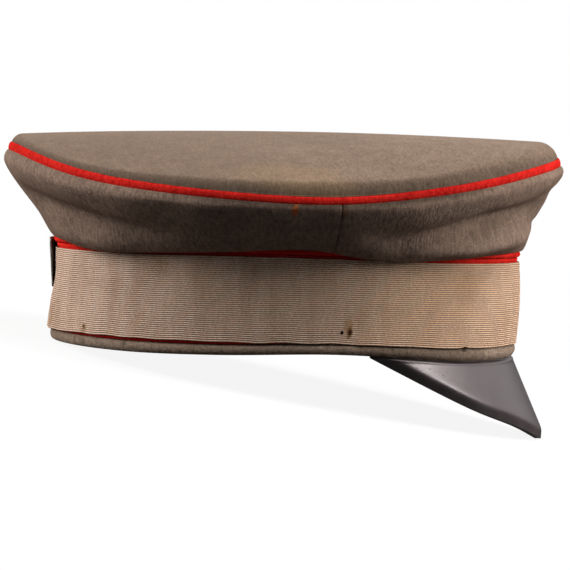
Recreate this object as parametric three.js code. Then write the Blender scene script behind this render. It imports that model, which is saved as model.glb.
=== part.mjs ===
// A soft peaked cap: a domed cloth crown with a red corded edge, a red band under a ribbed cover ribbon, and
// a steep leather visor. Millimetres, +Z up, the visor towards +X, and the wearer's left towards +Y.
// The cap is shaped in its own frame, with the head opening level, and then tipped back to lie as it does on
// a table: on the back of its rolled lower edge and on the tip of its visor.
import * as THREE from "three";

// Stations round the cap, one every STEP degrees. A turn is in degrees from the front, + to the left.
const STATIONS = 72;
const STEP = 360 / STATIONS;

const GAP = 0.3; // between pieces that touch

// The band, measured over the ribbon half way up.
const BAND_LENGTH = 209;
const BAND_WIDTH = 174;

// The crown, measured over the centre of the cord round its edge.
const CROWN_LENGTH = 246;
const CROWN_WIDTH = 226;
const CROWN_SHIFT = -3.2; // its centre lies this far behind the band's centre

// The top is a saddle: a ridge that runs from front to back and falls away to both sides.
const RIDGE_HEIGHT = 95.8;
const RIDGE_PEAK_X = 40;
const RIDGE_CURVE = 2.05e-4; // fall per square millimetre from the peak
const SIDE_FALL = 26.8; // at the full half width
const TOP_RINGS = 6;
const SHOULDER_STEPS = 3;
const EDGE_SLOPE = 62; // degrees below level where the cloth meets the cord

const CLOTH = 2; // wall of top and sides
const CORD_RADIUS = 1.3;
const BELLY_DROP = 5.2; // the side bulges most this far below the cord
const SIDE_STEPS = 8;

// The crown's side, a row for each section: the radius of the top's turned edge, how far the side bulges
// past the cord, a point half way down it, and its lower edge, out from the band and up from the opening.
const CROWN_SECTIONS = [
  { turn: 0, shoulder: 8.4, belly: 2.3, waistOut: 6.8, waistUp: 61, footOut: 0.5, footUp: 46.1 },
  { turn: 40, shoulder: 16, belly: 2.2, waistOut: 11.5, waistUp: 57, footOut: 1.6, footUp: 45.4 },
  { turn: 62, shoulder: 11.6, belly: 2.2, waistOut: 14.5, waistUp: 52, footOut: 3, footUp: 41.5 },
  { turn: 84, shoulder: 8.8, belly: 2.2, waistOut: 15.5, waistUp: 52, footOut: 2.6, footUp: 45.2 },
  { turn: 122, shoulder: 7.2, belly: 2, waistOut: 15, waistUp: 53, footOut: 3, footUp: 42.2 },
  { turn: 150, shoulder: 7.4, belly: 1.7, waistOut: 13, waistUp: 59, footOut: 1.8, footUp: 45.4 },
  { turn: 180, shoulder: 6.4, belly: 1.5, waistOut: 11, waistUp: 62.6, footOut: 0.4, footUp: 46 },
];

// Valleys and ridges in the side, a row for each fold: where it starts and ends, as a turn and as a share
// of the way down, how wide it is as such a share, and its depth, which is negative on a ridge.
const CROWN_FOLDS = [
  { fromTurn: -62, fromDown: 0.62, toTurn: 14, toDown: 0.34, width: 0.11, depth: 3 },
  { fromTurn: -75, fromDown: 0.8, toTurn: -8, toDown: 0.62, width: 0.1, depth: -1.4 },
  { fromTurn: -40, fromDown: 0.72, toTurn: 34, toDown: 0.7, width: 0.09, depth: 1.2 },
  { fromTurn: -52, fromDown: 0.9, toTurn: 48, toDown: 0.9, width: 0.09, depth: -1 },
  { fromTurn: -175, fromDown: 0.22, toTurn: -112, toDown: 0.66, width: 0.16, depth: 2.6 },
  { fromTurn: -168, fromDown: 0.85, toTurn: -120, toDown: 0.8, width: 0.13, depth: -1.6 },
  { fromTurn: 12, fromDown: 0.4, toTurn: 70, toDown: 0.62, width: 0.13, depth: 2.2 },
  { fromTurn: 108, fromDown: 0.66, toTurn: 172, toDown: 0.28, width: 0.15, depth: 2.2 },
];

const SIDE_SEAM = 80; // turn of the seams in the sides; the others are at the front and the back

// The band, a row for each section: its lowest edge and the ribbon's two edges, up from the head opening,
// and how far the ribbon stands out of its oval at those two edges.
const BAND_SECTIONS = [
  { turn: 0, hem: -0.6, ribbonFoot: 5.2, ribbonHead: 41.2, footOut: -1.2, headOut: -1 },
  { turn: 42, hem: -0.4, ribbonFoot: 5.3, ribbonHead: 41.2, footOut: -0.6, headOut: -0.8 },
  { turn: 60, hem: 1.4, ribbonFoot: 6.2, ribbonHead: 41.5, footOut: -0.3, headOut: -0.6 },
  { turn: 80, hem: 3.1, ribbonFoot: 7.1, ribbonHead: 42.1, footOut: 0, headOut: -0.5 },
  { turn: 106, hem: 0.8, ribbonFoot: 6.3, ribbonHead: 41.8, footOut: 0.3, headOut: -0.6 },
  { turn: 130, hem: -0.2, ribbonFoot: 5.9, ribbonHead: 41, footOut: 0.7, headOut: -0.7 },
  { turn: 180, hem: 0, ribbonFoot: 5.4, ribbonHead: 40.6, footOut: 1.8, headOut: -1 },
];
const RIBBON_MIDDLE = 23.5;
const WALL_MIDDLE = 27; // height of the points half way up every wall of the band
const RIBBON = 1; // wall of the ribbon
const RED_CLOTH = 1.2;
const BODY = 2.6; // wall of the band's body
const RED_SHOWS = 0.9; // of the red band, under the ribbon
const RED_HEAD = 42.95; // top of the red band
const ROLL_RADIUS = 1.35; // the red roll above it
const ROLL_UP = 44.6;
const ROLL_IN = 0.6; // its centre lies this far in from the ribbon's face
const BODY_HEAD = 45.8;
const HEM_DEPTH = RIBBON + RED_CLOTH + 2 * GAP; // of the body's outer face, over its rolled lower edge
const HEM_IN = 0.5; // the rolled lower edge lies this far in from the ribbon's face
const HEM_STEPS = 6;

// The visor is a sheet of rulings that lean out from under the band, cut off by one sloping plane.
const VISOR_END = 69; // turn at which it ends on either side
const VISOR_STEPS = 28;
const VISOR = 2.2; // its thickness
const VISOR_IN = 2.05; // its face leaves the hem this far in from the ribbon's face
const VISOR_LEAN_FRONT = 23; // degrees from upright
const VISOR_LEAN_END = 4;
const RIM_START_X = 33.4;
const RIM_START_UP = 1.9;
const RIM_SLOPE = 0.477; // fall per millimetre forward
const VISOR_ROWS = 5;

// The clasp is a flat plate that stands off the ribbon at its top.
const CLASP_WIDTH = 24;
const CLASP_HEIGHT = 21;
const CLASP_THICK = 0.8;
const CLASP_CORNER = 2.5;
const CLASP_FOOT_UP = 23;
const CLASP_LEAN = 4.5;
const CLASP_DENT = 1.1; // it draws the band in behind it
const CLASP_DENT_UP = 29;
const CLASP_DENT_HIGH = 8;
const CLASP_DENT_WIDE = 12; // in degrees of turn

// What the cap lies on is pressed flat.
const HEM_PRESSED = 0.5;
const TIP_PRESSED = 0.25;

const rad = THREE.MathUtils.degToRad;

const CLOTH_FINISH = { color: 0x7d6a5a, roughness: 0.95, metalness: 0 };
const RED_FINISH = { color: 0xc42018, roughness: 0.9, metalness: 0 };
const RIBBON_FINISH = { color: 0xa58b76, roughness: 0.85, metalness: 0 };
const LEATHER_FINISH = { color: 0x1a1614, roughness: 0.3, metalness: 0 };
const STEEL_FINISH = { color: 0x3c3c3a, roughness: 0.45, metalness: 0.9 };

// A column of a table at any turn: a smooth curve through its rows, level at the front and at the back.
function at(rows, column, turn) {
  const away = Math.abs(turn) > 180 ? 360 - Math.abs(turn) : Math.abs(turn);
  const last = rows.length - 1;
  const next = Math.min(last, Math.max(1, rows.findIndex((row) => row.turn >= away)));
  const slope = (i) =>
    i <= 0 || i >= last
      ? 0
      : (rows[i + 1][column] - rows[i - 1][column]) / (rows[i + 1].turn - rows[i - 1].turn);
  const [low, high] = [rows[next - 1], rows[next]];
  const span = high.turn - low.turn;
  const t = (away - low.turn) / span;
  return (
    low[column] * (1 + 2 * t) * (1 - t) ** 2 +
    high[column] * (3 - 2 * t) * t ** 2 +
    span * slope(next - 1) * t * (1 - t) ** 2 -
    span * slope(next) * (1 - t) * t ** 2
  );
}

// A point of the band's oval, and the level direction from it to the same turn of the crown's oval.
function oval(turn) {
  const [c, s] = [Math.cos(rad(turn)), Math.sin(rad(turn))];
  const band = new THREE.Vector3((c * BAND_LENGTH) / 2, (s * BAND_WIDTH) / 2, 0);
  const crown = new THREE.Vector3(CROWN_SHIFT + (c * CROWN_LENGTH) / 2, (s * CROWN_WIDTH) / 2, 0);
  const spread = crown.distanceTo(band);
  return { band, spread, outward: crown.sub(band).normalize() };
}

// A point given by its turn, its distance out from the band's oval and its height.
function place(turn, out, up) {
  const { band, outward } = oval(turn);
  return band.addScaledVector(outward, out).setZ(up);
}

// Height of the top before its edge turns down.
function saddle(x, y) {
  return RIDGE_HEIGHT - RIDGE_CURVE * (x - RIDGE_PEAK_X) ** 2 - SIDE_FALL * ((2 * y) / CROWN_WIDTH) ** 2;
}

// The crown's edge at a turn: the arc over which the top turns down, and the cord below it. The arc starts
// in line with the saddle and ends at EDGE_SLOPE, one cord radius and a gap short of the cord's centre.
function edge(turn) {
  const radius = at(CROWN_SECTIONS, "shoulder", turn);
  const { band, outward, spread } = oval(turn);
  const reach = CORD_RADIUS + GAP;
  const end = rad(EDGE_SLOPE);
  const arcOut = spread - reach * Math.cos(end);
  const heightAt = (out) => saddle(band.x + outward.x * out, band.y + outward.y * out);
  let start = 0;
  let startOut = arcOut;
  for (let pass = 0; pass < 4; pass++) {
    startOut = arcOut - radius * (Math.sin(end) - Math.sin(start));
    start = Math.atan(heightAt(startOut - 0.5) - heightAt(startOut + 0.5));
  }
  const startUp = heightAt(startOut);
  const arc = (angle) => ({
    out: startOut + radius * (Math.sin(angle) - Math.sin(start)),
    up: startUp - radius * (Math.cos(start) - Math.cos(angle)),
  });
  const foot = arc(end);
  const cord = { out: foot.out + reach * Math.cos(end), up: foot.up - reach * Math.sin(end) };
  const side = { out: cord.out + reach * Math.cos(end), up: cord.up - reach * Math.sin(end) };
  return { start, end, arc, cord, side };
}

// How far the folds push the crown's side in at a turn and a share of the way down.
function foldDepth(turn, down) {
  let depth = 0;
  for (const fold of CROWN_FOLDS) {
    const along = (turn - fold.fromTurn) / (fold.toTurn - fold.fromTurn);
    if (along <= 0 || along >= 1) continue;
    const centre = THREE.MathUtils.lerp(fold.fromDown, fold.toDown, along);
    const across = (down - centre) / fold.width;
    depth += fold.depth * Math.sin(Math.PI * along) * Math.exp(-across * across);
  }
  return depth;
}

// A wall's section: a face, and the same face moved in by the wall's thickness, in (out, up).
function walled(face, thickness) {
  const inner = face.map((point, i) => {
    const before = face[Math.max(0, i - 1)];
    const after = face[Math.min(face.length - 1, i + 1)];
    const [dOut, dUp] = [after.out - before.out, after.up - before.up];
    const length = Math.hypot(dOut, dUp);
    return { out: point.out + (dUp / length) * thickness, up: point.up - (dOut / length) * thickness };
  });
  return [...face, ...inner.reverse()];
}

// The face of the crown's side at a turn, from the cord down to the band: a smooth curve through its cord,
// belly, waist and foot, with the folds pressed into it.
function sideFace(turn) {
  const { cord, side } = edge(turn);
  const get = (column) => at(CROWN_SECTIONS, column, turn);
  const curve = new THREE.CatmullRomCurve3(
    [
      new THREE.Vector3(side.out, side.up),
      new THREE.Vector3(cord.out + get("belly"), cord.up - BELLY_DROP),
      new THREE.Vector3(get("waistOut"), get("waistUp")),
      new THREE.Vector3(get("footOut"), get("footUp")),
    ],
    false,
    "centripetal",
  );
  return curve.getSpacedPoints(SIDE_STEPS).map((point, i) => {
    const down = i / SIDE_STEPS;
    const tangent = curve.getTangentAt(down);
    const depth = foldDepth(turn, down);
    return { out: point.x + tangent.y * depth, up: point.y - tangent.x * depth };
  });
}

// How far the band's face stands out of its oval at a height: a parabola through the ribbon's foot and
// head, and through the oval itself at the ribbon's middle, with the dent behind the clasp. Below the
// ribbon it is upright.
function bandLean(turn, up) {
  const get = (column) => at(BAND_SECTIONS, column, turn);
  const share = (height, zero, one) => (height - zero) / (one - zero);
  const [foot, head] = [get("ribbonFoot"), get("ribbonHead")];
  const height = Math.max(up, foot);
  const across = (180 - Math.abs(turn)) / CLASP_DENT_WIDE;
  const along = (height - CLASP_DENT_UP) / CLASP_DENT_HIGH;
  return (
    get("footOut") * share(height, RIBBON_MIDDLE, foot) * share(height, head, foot) +
    get("headOut") * share(height, RIBBON_MIDDLE, head) * share(height, foot, head) -
    CLASP_DENT * Math.exp(-across * across - along * along)
  );
}

// A section of the band, given by its depths in from the band's face and its heights.
function bandSection(turn, points) {
  return points.map(([depth, up]) => place(turn, bandLean(turn, up) - depth, up));
}

// Points on an ellipse's arc from one angle to another, in degrees.
function arcPoints(centreIn, centreUp, halfWide, halfHigh, from, to, steps) {
  return Array.from({ length: steps + 1 }, (_, i) => {
    const angle = rad(from + ((to - from) * i) / steps);
    return [centreIn + halfWide * Math.cos(angle), centreUp + halfHigh * Math.sin(angle)];
  });
}

// A closed surface through sections with equal numbers of points, each a closed outline. The row of
// sections either closes on itself or ends in two caps, which join each point of a wall's face to its
// inner fellow.
function loft(sections, closed) {
  const size = sections[0].length;
  const index = [];
  const quad = (a, b, c, d) => index.push(a, b, c, a, c, d);
  const spans = closed ? sections.length : sections.length - 1;
  for (let i = 0; i < spans; i++) {
    const [here, there] = [i * size, ((i + 1) % sections.length) * size];
    for (let j = 0; j < size; j++) {
      const next = (j + 1) % size;
      quad(here + j, here + next, there + next, there + j);
    }
  }
  if (!closed) {
    const last = (sections.length - 1) * size;
    for (let j = 0; j < size / 2 - 1; j++) {
      const inner = size - 1 - j;
      quad(j, inner, inner - 1, j + 1);
      quad(last + j, last + j + 1, last + inner - 1, last + inner);
    }
  }
  return { points: sections.flat(), index };
}

// A closed surface through columns round an axis, which all start at one pole and end at the other.
function spun(columns) {
  const inside = columns.map((column) => column.slice(1, -1));
  const size = inside[0].length;
  const points = [...inside.flat(), columns[0][0], columns[0][size + 1]];
  const [first, last] = [points.length - 2, points.length - 1];
  const index = [];
  columns.forEach((_, i) => {
    const [here, there] = [i * size, ((i + 1) % columns.length) * size];
    index.push(first, here, there);
    index.push(last, there + size - 1, here + size - 1);
    for (let j = 0; j < size - 1; j++) {
      index.push(here + j, here + j + 1, there + j + 1, here + j, there + j + 1, there + j);
    }
  });
  return { points, index };
}

// The stations of a full round, in degrees.
const ROUND = Array.from({ length: STATIONS }, (_, i) => -180 + i * STEP);

// The plane on which the cap lies, in the cap's own frame: it touches the back of the hem's roll and the
// tip of the visor, and each is pressed in a little. The cap is tipped back until this plane is level.
function restingPlane() {
  const [hem, top] = hemHeights(180);
  const roll = place(180, at(BAND_SECTIONS, "footOut", 180) - HEM_DEPTH, (hem + top) / 2);
  const [wide, high] = [HEM_DEPTH - HEM_IN, (top - hem) / 2];
  const tip = visorSection(0)[VISOR_ROWS + 1];
  const [forward, down] = [tip.x - roll.x, roll.z - tip.z];
  let tilt = 0;
  for (let pass = 0; pass < 6; pass++) {
    const below = Math.hypot(wide * Math.sin(tilt), high * Math.cos(tilt)) - HEM_PRESSED + TIP_PRESSED;
    tilt = Math.atan2(down, forward) - Math.asin(below / Math.hypot(forward, down));
  }
  const normal = new THREE.Vector3(Math.sin(tilt), 0, Math.cos(tilt));
  return { tilt, plane: new THREE.Plane(normal, -normal.dot(tip) - TIP_PRESSED) };
}

// Heights of the hem's lowest line and of its roll's top, below the red band that shows.
function hemHeights(turn) {
  return [at(BAND_SECTIONS, "hem", turn), at(BAND_SECTIONS, "ribbonFoot", turn) - RED_SHOWS - GAP];
}

// The visor's section: its face from the hem down to the rim, and its underside back up. Each turn's ruling
// leans out from upright, and it ends where it meets the sloping plane of the rim.
function visorSection(turn) {
  const [hem] = hemHeights(turn);
  const top = hem - GAP;
  const out = at(BAND_SECTIONS, "footOut", turn) - VISOR_IN;
  const start = place(turn, out, top);
  const toEnd = Math.abs(turn / VISOR_END) ** 1.5;
  const lean = Math.tan(rad(THREE.MathUtils.lerp(VISOR_LEAN_FRONT, VISOR_LEAN_END, toEnd)));
  const fall = top - RIM_START_UP + RIM_SLOPE * (start.x - RIM_START_X);
  const depth = fall / (1 - RIM_SLOPE * lean * oval(turn).outward.x);
  const wall = VISOR * Math.hypot(1, lean);
  const row = (i, inwards) => {
    const down = (depth * i) / VISOR_ROWS;
    return place(turn, out + down * lean - inwards, top - down);
  };
  const rows = Array.from({ length: VISOR_ROWS + 1 }, (_, i) => i);
  return [...rows.map((i) => row(i, 0)), ...rows.reverse().map((i) => row(i, wall))];
}

const resting = restingPlane();

// A mesh of a shape whose points are pressed up to the resting plane where they reach below it, with its
// faces turned outwards.
function piece(name, shape, finish) {
  const points = shape.points.map((point) => {
    const above = resting.plane.distanceToPoint(point);
    return above < 0 ? point.clone().addScaledVector(resting.plane.normal, -above) : point;
  });
  let volume = 0;
  for (let i = 0; i < shape.index.length; i += 3) {
    const [a, b, c] = shape.index.slice(i, i + 3).map((j) => points[j]);
    volume += new THREE.Vector3().crossVectors(b, c).dot(a);
  }
  const index = volume < 0 ? shape.index.toReversed() : shape.index;
  const geometry = new THREE.BufferGeometry().setFromPoints(points).setIndex(index);
  geometry.computeVertexNormals();
  const mesh = new THREE.Mesh(geometry, new THREE.MeshStandardMaterial(finish));
  mesh.name = name;
  return mesh;
}

// The crown's top: rings of the saddle out to the shoulder, the turned edge, and the same again underneath.
function crownTop() {
  const columns = ROUND.map((turn) => {
    const { start, end, arc } = edge(turn);
    const first = arc(start);
    const rim = place(turn, first.out, 0);
    const ring = (share, below) => {
      const [x, y] = [THREE.MathUtils.lerp(CROWN_SHIFT, rim.x, share), rim.y * share];
      return new THREE.Vector3(x, y, saddle(x, y) - below);
    };
    const shares = Array.from({ length: TOP_RINGS }, (_, i) => i / TOP_RINGS);
    const turned = Array.from({ length: SHOULDER_STEPS + 1 }, (_, i) =>
      arc(THREE.MathUtils.lerp(start, end, i / SHOULDER_STEPS)),
    );
    return [
      ...shares.map((share) => ring(share, 0)),
      ...walled(turned, CLOTH).map(({ out, up }) => place(turn, out, up)),
      ...shares.toReversed().map((share) => ring(share, CLOTH)),
    ];
  });
  return piece("crown_top", spun(columns), CLOTH_FINISH);
}

// A section of the crown's side, with its foot cut level where it sits on the red roll.
function sideSection(turn) {
  const section = walled(sideFace(turn), CLOTH);
  section[SIDE_STEPS + 1].up = section[SIDE_STEPS].up;
  return section;
}

// One panel of the crown's side, from one seam to the next, half a gap short of each.
function crownSide(name, fromTurn, toTurn) {
  const count = Math.round((toTurn - fromTurn) / STEP);
  const inset = (turn) => GAP / 2 / place(turn, 0, 0).distanceTo(place(turn + 1, 0, 0));
  const sections = Array.from({ length: count + 1 }, (_, i) => {
    const turn = fromTurn + i * STEP;
    const shift = i === 0 ? inset(turn) : i === count ? -inset(turn) : 0;
    return sideSection(turn).map(({ out, up }) => place(turn + shift, out, up));
  });
  return piece(name, loft(sections, false), CLOTH_FINISH);
}

// A cord round the cap, with its centre given by a function of the turn.
function cordRing(name, centreAt, radius) {
  const sections = ROUND.map((turn) => {
    const { out, up } = centreAt(turn);
    return Array.from({ length: 6 }, (_, i) => {
      const angle = rad(60 * i);
      return place(turn, out + radius * Math.cos(angle), up + radius * Math.sin(angle));
    });
  });
  return piece(name, loft(sections, true), RED_FINISH);
}

// The grey cloth wall of the band, with its lower edge rolled outwards under the red band.
function bandBody() {
  const sections = ROUND.map((turn) => {
    const [hem, top] = hemHeights(turn);
    const [middle, high] = [(hem + top) / 2, (top - hem) / 2];
    const inner = HEM_DEPTH + BODY;
    return bandSection(turn, [
      [HEM_DEPTH, BODY_HEAD],
      [HEM_DEPTH, WALL_MIDDLE],
      ...arcPoints(HEM_DEPTH, middle, HEM_DEPTH - HEM_IN, high, 90, 270, HEM_STEPS),
      ...arcPoints(HEM_DEPTH, middle, BODY, high, 300, 360, 2),
      [inner, WALL_MIDDLE],
      [inner, BODY_HEAD],
    ]);
  });
  return piece("band_body", loft(sections, true), CLOTH_FINISH);
}

// A strip of cloth round the band, given by its depth, its thickness and its lower and upper edges.
function strip(name, depth, thickness, footAt, headAt, finish) {
  const sections = ROUND.map((turn) => {
    const [foot, head] = [footAt(turn), headAt(turn)];
    const heights = [head, WALL_MIDDLE, foot];
    return bandSection(turn, [
      ...heights.map((up) => [depth, up]),
      ...heights.reverse().map((up) => [depth + thickness, up]),
    ]);
  });
  return piece(name, loft(sections, true), finish);
}

// The visor, a sheet that stands out below the front of the hem.
function visor() {
  const sections = Array.from({ length: VISOR_STEPS + 1 }, (_, i) =>
    visorSection(VISOR_END * ((2 * i) / VISOR_STEPS - 1)),
  );
  return piece("visor", loft(sections, false), LEATHER_FINISH);
}

// The clasp: a plate with rounded corners and bevelled edges, which leans away from the ribbon at its top.
function clasp() {
  const [w, h, r] = [CLASP_WIDTH / 2, CLASP_HEIGHT, CLASP_CORNER];
  const outline = new THREE.Shape();
  outline.moveTo(-w + r, 0).lineTo(w - r, 0).absarc(w - r, r, r, -Math.PI / 2, 0);
  outline.lineTo(w, h - r).absarc(w - r, h - r, r, 0, Math.PI / 2);
  outline.lineTo(-w + r, h).absarc(-w + r, h - r, r, Math.PI / 2, Math.PI);
  outline.lineTo(-w, r).absarc(-w + r, r, r, Math.PI, 1.5 * Math.PI);
  const bevel = CLASP_THICK / 4;
  const geometry = new THREE.ExtrudeGeometry(outline, {
    depth: CLASP_THICK - 2 * bevel,
    bevelThickness: bevel,
    bevelSize: bevel,
    bevelOffset: -bevel,
    bevelSegments: 1,
    curveSegments: 4,
  });
  geometry.translate(0, 0, bevel).rotateX(Math.PI / 2).rotateZ(-Math.PI / 2);
  const mesh = new THREE.Mesh(geometry, new THREE.MeshStandardMaterial(STEEL_FINISH));
  mesh.name = "band_clasp";
  mesh.rotation.y = -rad(CLASP_LEAN);
  mesh.position.copy(place(180, bandLean(180, CLASP_FOOT_UP) + GAP, CLASP_FOOT_UP));
  return mesh;
}

const cap = new THREE.Group();
cap.add(
  crownTop(),
  crownSide("crown_side_rear_right", -180, -SIDE_SEAM),
  crownSide("crown_side_front_right", -SIDE_SEAM, 0),
  crownSide("crown_side_front_left", 0, SIDE_SEAM),
  crownSide("crown_side_rear_left", SIDE_SEAM, 180),
  cordRing("crown_piping", (turn) => edge(turn).cord, CORD_RADIUS),
  cordRing(
    "band_piping",
    (turn) => ({ out: bandLean(turn, ROLL_UP) - ROLL_IN, up: ROLL_UP }),
    ROLL_RADIUS,
  ),
  strip(
    "red_band",
    RIBBON + GAP,
    RED_CLOTH,
    (turn) => hemHeights(turn)[1] + GAP,
    () => RED_HEAD,
    RED_FINISH,
  ),
  strip(
    "cover_ribbon",
    0,
    RIBBON,
    (turn) => at(BAND_SECTIONS, "ribbonFoot", turn),
    (turn) => at(BAND_SECTIONS, "ribbonHead", turn),
    RIBBON_FINISH,
  ),
  bandBody(),
  visor(),
  clasp(),
);

// Tipped back until the resting plane is level, and set down with the middle of its box over the origin.
cap.rotation.y = -resting.tilt;
const part = new THREE.Group();
part.add(cap);
part.updateMatrixWorld(true);
const box = new THREE.Box3().setFromObject(part, true);
const middle = box.getCenter(new THREE.Vector3());
cap.position.set(-middle.x, -middle.y, -box.min.z);

export default part;
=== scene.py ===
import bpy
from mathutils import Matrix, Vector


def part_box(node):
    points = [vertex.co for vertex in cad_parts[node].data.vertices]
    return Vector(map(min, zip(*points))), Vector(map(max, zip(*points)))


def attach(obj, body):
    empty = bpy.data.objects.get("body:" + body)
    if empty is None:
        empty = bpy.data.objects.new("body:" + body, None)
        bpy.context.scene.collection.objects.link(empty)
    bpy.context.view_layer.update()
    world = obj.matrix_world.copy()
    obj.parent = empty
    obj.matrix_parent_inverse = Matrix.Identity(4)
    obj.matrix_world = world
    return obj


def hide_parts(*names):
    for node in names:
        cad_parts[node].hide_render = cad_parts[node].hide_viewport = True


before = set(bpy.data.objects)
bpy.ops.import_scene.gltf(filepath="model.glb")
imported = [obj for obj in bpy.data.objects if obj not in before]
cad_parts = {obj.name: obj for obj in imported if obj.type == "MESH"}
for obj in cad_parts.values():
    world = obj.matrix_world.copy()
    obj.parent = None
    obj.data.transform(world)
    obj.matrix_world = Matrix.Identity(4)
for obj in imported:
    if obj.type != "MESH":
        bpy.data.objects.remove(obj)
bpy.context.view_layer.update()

import bpy
import numpy as np
from mathutils import Matrix, Vector

# A soft peaked cap. It is shaped in millimetres in its own frame, with the head opening level, the visor
# towards +x and the wearer's left towards +y, and then laid on the floor as the frame lies. A turn is an
# angle round the cap in degrees from the front, + to the wearer's left.

MM = 0.001


def table(names, *rows):
    """A table as one array for each column, under the column's name."""
    return dict(zip(names.split(), np.array(rows, float).T))


# The band, over the ribbon half way up, and the crown, over the centre of the cord round its edge.
BAND_LENGTH = 209
BAND_WIDTH = 174
CROWN_LENGTH = 246
CROWN_WIDTH = 226
CROWN_SHIFT = -3.2

# Millimetres for each degree of turn, on the UV maps.
AROUND_CROWN = 1.9
AROUND_BAND = 1.68
AROUND_VISOR = 1.75

# The top is a saddle whose ridge runs from front to back.
RIDGE_HEIGHT = 95.8
RIDGE_PEAK_X = 40
RIDGE_CURVE = 2.05e-4
SIDE_FALL = 23.8
END_FALL = 2.4e-5  # how much steeper it falls to the sides towards the front and the back
TOP_WAVES = ((0.35, 23, 31, 0), (0.3, 41, -17, 2))  # heights, lengths along x and along y, and shifts
TOP_WAVES_FULL = 40  # how far to the side of the ridge they have their full height
TOP_RINGS = np.linspace(0.02, 1, 70)[:-1]  # the rings of its mesh, as shares of the way out
EDGE_ROWS = 16  # the rows of its turned edge
EDGE_INSIDE = slice(14, None, -4)  # the rows there that its inside lies behind
CLOTH = 2.0

# The cord in the crown's edge, and the cloth beside it. Steps there are down along the cloth and into it.
CORD_REACH = 1.6  # from the cord's centre to the end of the top's turned edge
CORD_PROUD = 0.9  # the cord's half depth, out of the cloth
CORD_TUCK = 0.35  # how much wider than it shows it is, under the side's edge
CORD_WAVER = 0.03  # the share by which the size of the cord and of the red roll wavers
CORD_SIDES = 20
CORD_GIRTH = 8  # millimetres round it, on the UV map
TOP_CURL = ((-0.5, 0), (0, 0.3), (-0.3, 1.2))  # steps from the cord's upper edge, where the top ends
SIDE_TUCK = ((0.05, 1.3), (0.35, -0.7))  # steps from its lower edge, where the side starts

# The crown's side: the radius of the top's turned edge and the slope that it ends at, how far the cord lies
# in from the oval, how far the side bulges past the cord and how far below it, a point half way down it,
# how far out its foot is, and half the width of the cord that shows.
CROWN_SECTIONS = table(
    "turn shoulder slope edge_in belly belly_drop waist_out waist_up foot_out cord",
    (0, 9.2, 76, 0.9, 2.4, 4.2, 5.3, 61, -0.2, 1.6),
    (40, 8.3, 84, 0.8, 2.1, 4.6, 10.6, 57, 1.6, 1.5),
    (62, 6.3, 88, 0, 1.6, 4.6, 14.5, 52, 3, 1.35),
    (84, 7.5, 88, 0, 1.3, 3.4, 15.5, 52, 2.6, 1.3),
    (122, 3.7, 84, 0, 2, 5.6, 15, 53, 3, 1.45),
    (150, 3.4, 76, 1, 2.5, 7, 13, 59, 1.6, 1.6),
    (180, 5.3, 76, 2, 2.7, 6, 6.2, 56, -1.3, 1.6),
)
CROWN_FOOT = table(
    "turn up",
    (0, 46.1), (24, 46.1), (33, 45.7), (41, 44.7), (54, 42.8), (64, 41.3), (74, 43), (83, 45.4), (92, 45),
    (105, 43.3), (118, 42.2), (130, 41.5), (140, 41.9), (147, 43), (153, 44.3), (160, 45.1), (180, 45.5),
)

# Valleys and ridges in the crown's side: where each starts and ends, as a turn and as a share of the way
# down, how wide it is as such a share, and its depth, negative on a ridge.
CROWN_FOLDS = table(
    "from_turn from_down to_turn to_down width depth",
    (-74, 0.64, -8, 0.48, 0.16, 7),
    (-34, 0.36, 20, 0.24, 0.1, 1.1),
    (-70, 0.66, -47, 0.34, 0.035, -0.9),
    (-64, 0.8, -13, 0.79, 0.15, -5.8),
    (-22, 0.66, 28, 0.71, 0.05, 1.1),
    (-170, 0.44, -106, 0.72, 0.14, 2.8),
    (-166, 0.86, -122, 0.9, 0.1, -1.4),
    (12, 0.4, 70, 0.62, 0.13, 2.2),
    (108, 0.66, 172, 0.34, 0.13, 2.2),
    (30, 0.66, 72, 0.8, 0.09, -1.1),
)

FOOT_UNDER = (-2, 0.5)  # out and up, from the foot to where the cloth has turned under
FOOT_END = (-0.2, 0.4)  # out and up, from the top of the red roll to the cloth's end
SIDE_RIPPLE = 0.3  # the depth of the side's slight unevenness
SIDE_STEPS = (4, 10, 44, 36, 9, 6)  # the rows of the side's mesh between the points of its section
SIDE_INSIDE = slice(90, 6, -7)  # the rows that its inside lies behind

# The seams in the crown's side, each as its turn at the cord and at the foot.
FRONT_SEAM = (0, 0)
BACK_SEAM = (180, 180)
RIGHT_SEAM = (-78.5, -79.6)
LEFT_SEAM = (78.5, 79.6)
SEAM_DITCH = 0.7  # its depth
SEAM_WIDE = 0.28
SEAM_SWELL = 0.05  # the rise of the cloth on each side of it
SEAM_SWELL_AWAY = 2.4  # from the seam to the top of that rise
SEAM_SWELL_WIDE = 1.3
SEAM_TURNS = (0, 0.1, 0.2, 0.32, 0.45, 0.6, 0.8, 1.05, 1.4, 1.9)  # the mesh's columns next to a seam
PANEL_TURN = 0.6  # between its columns elsewhere

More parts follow.
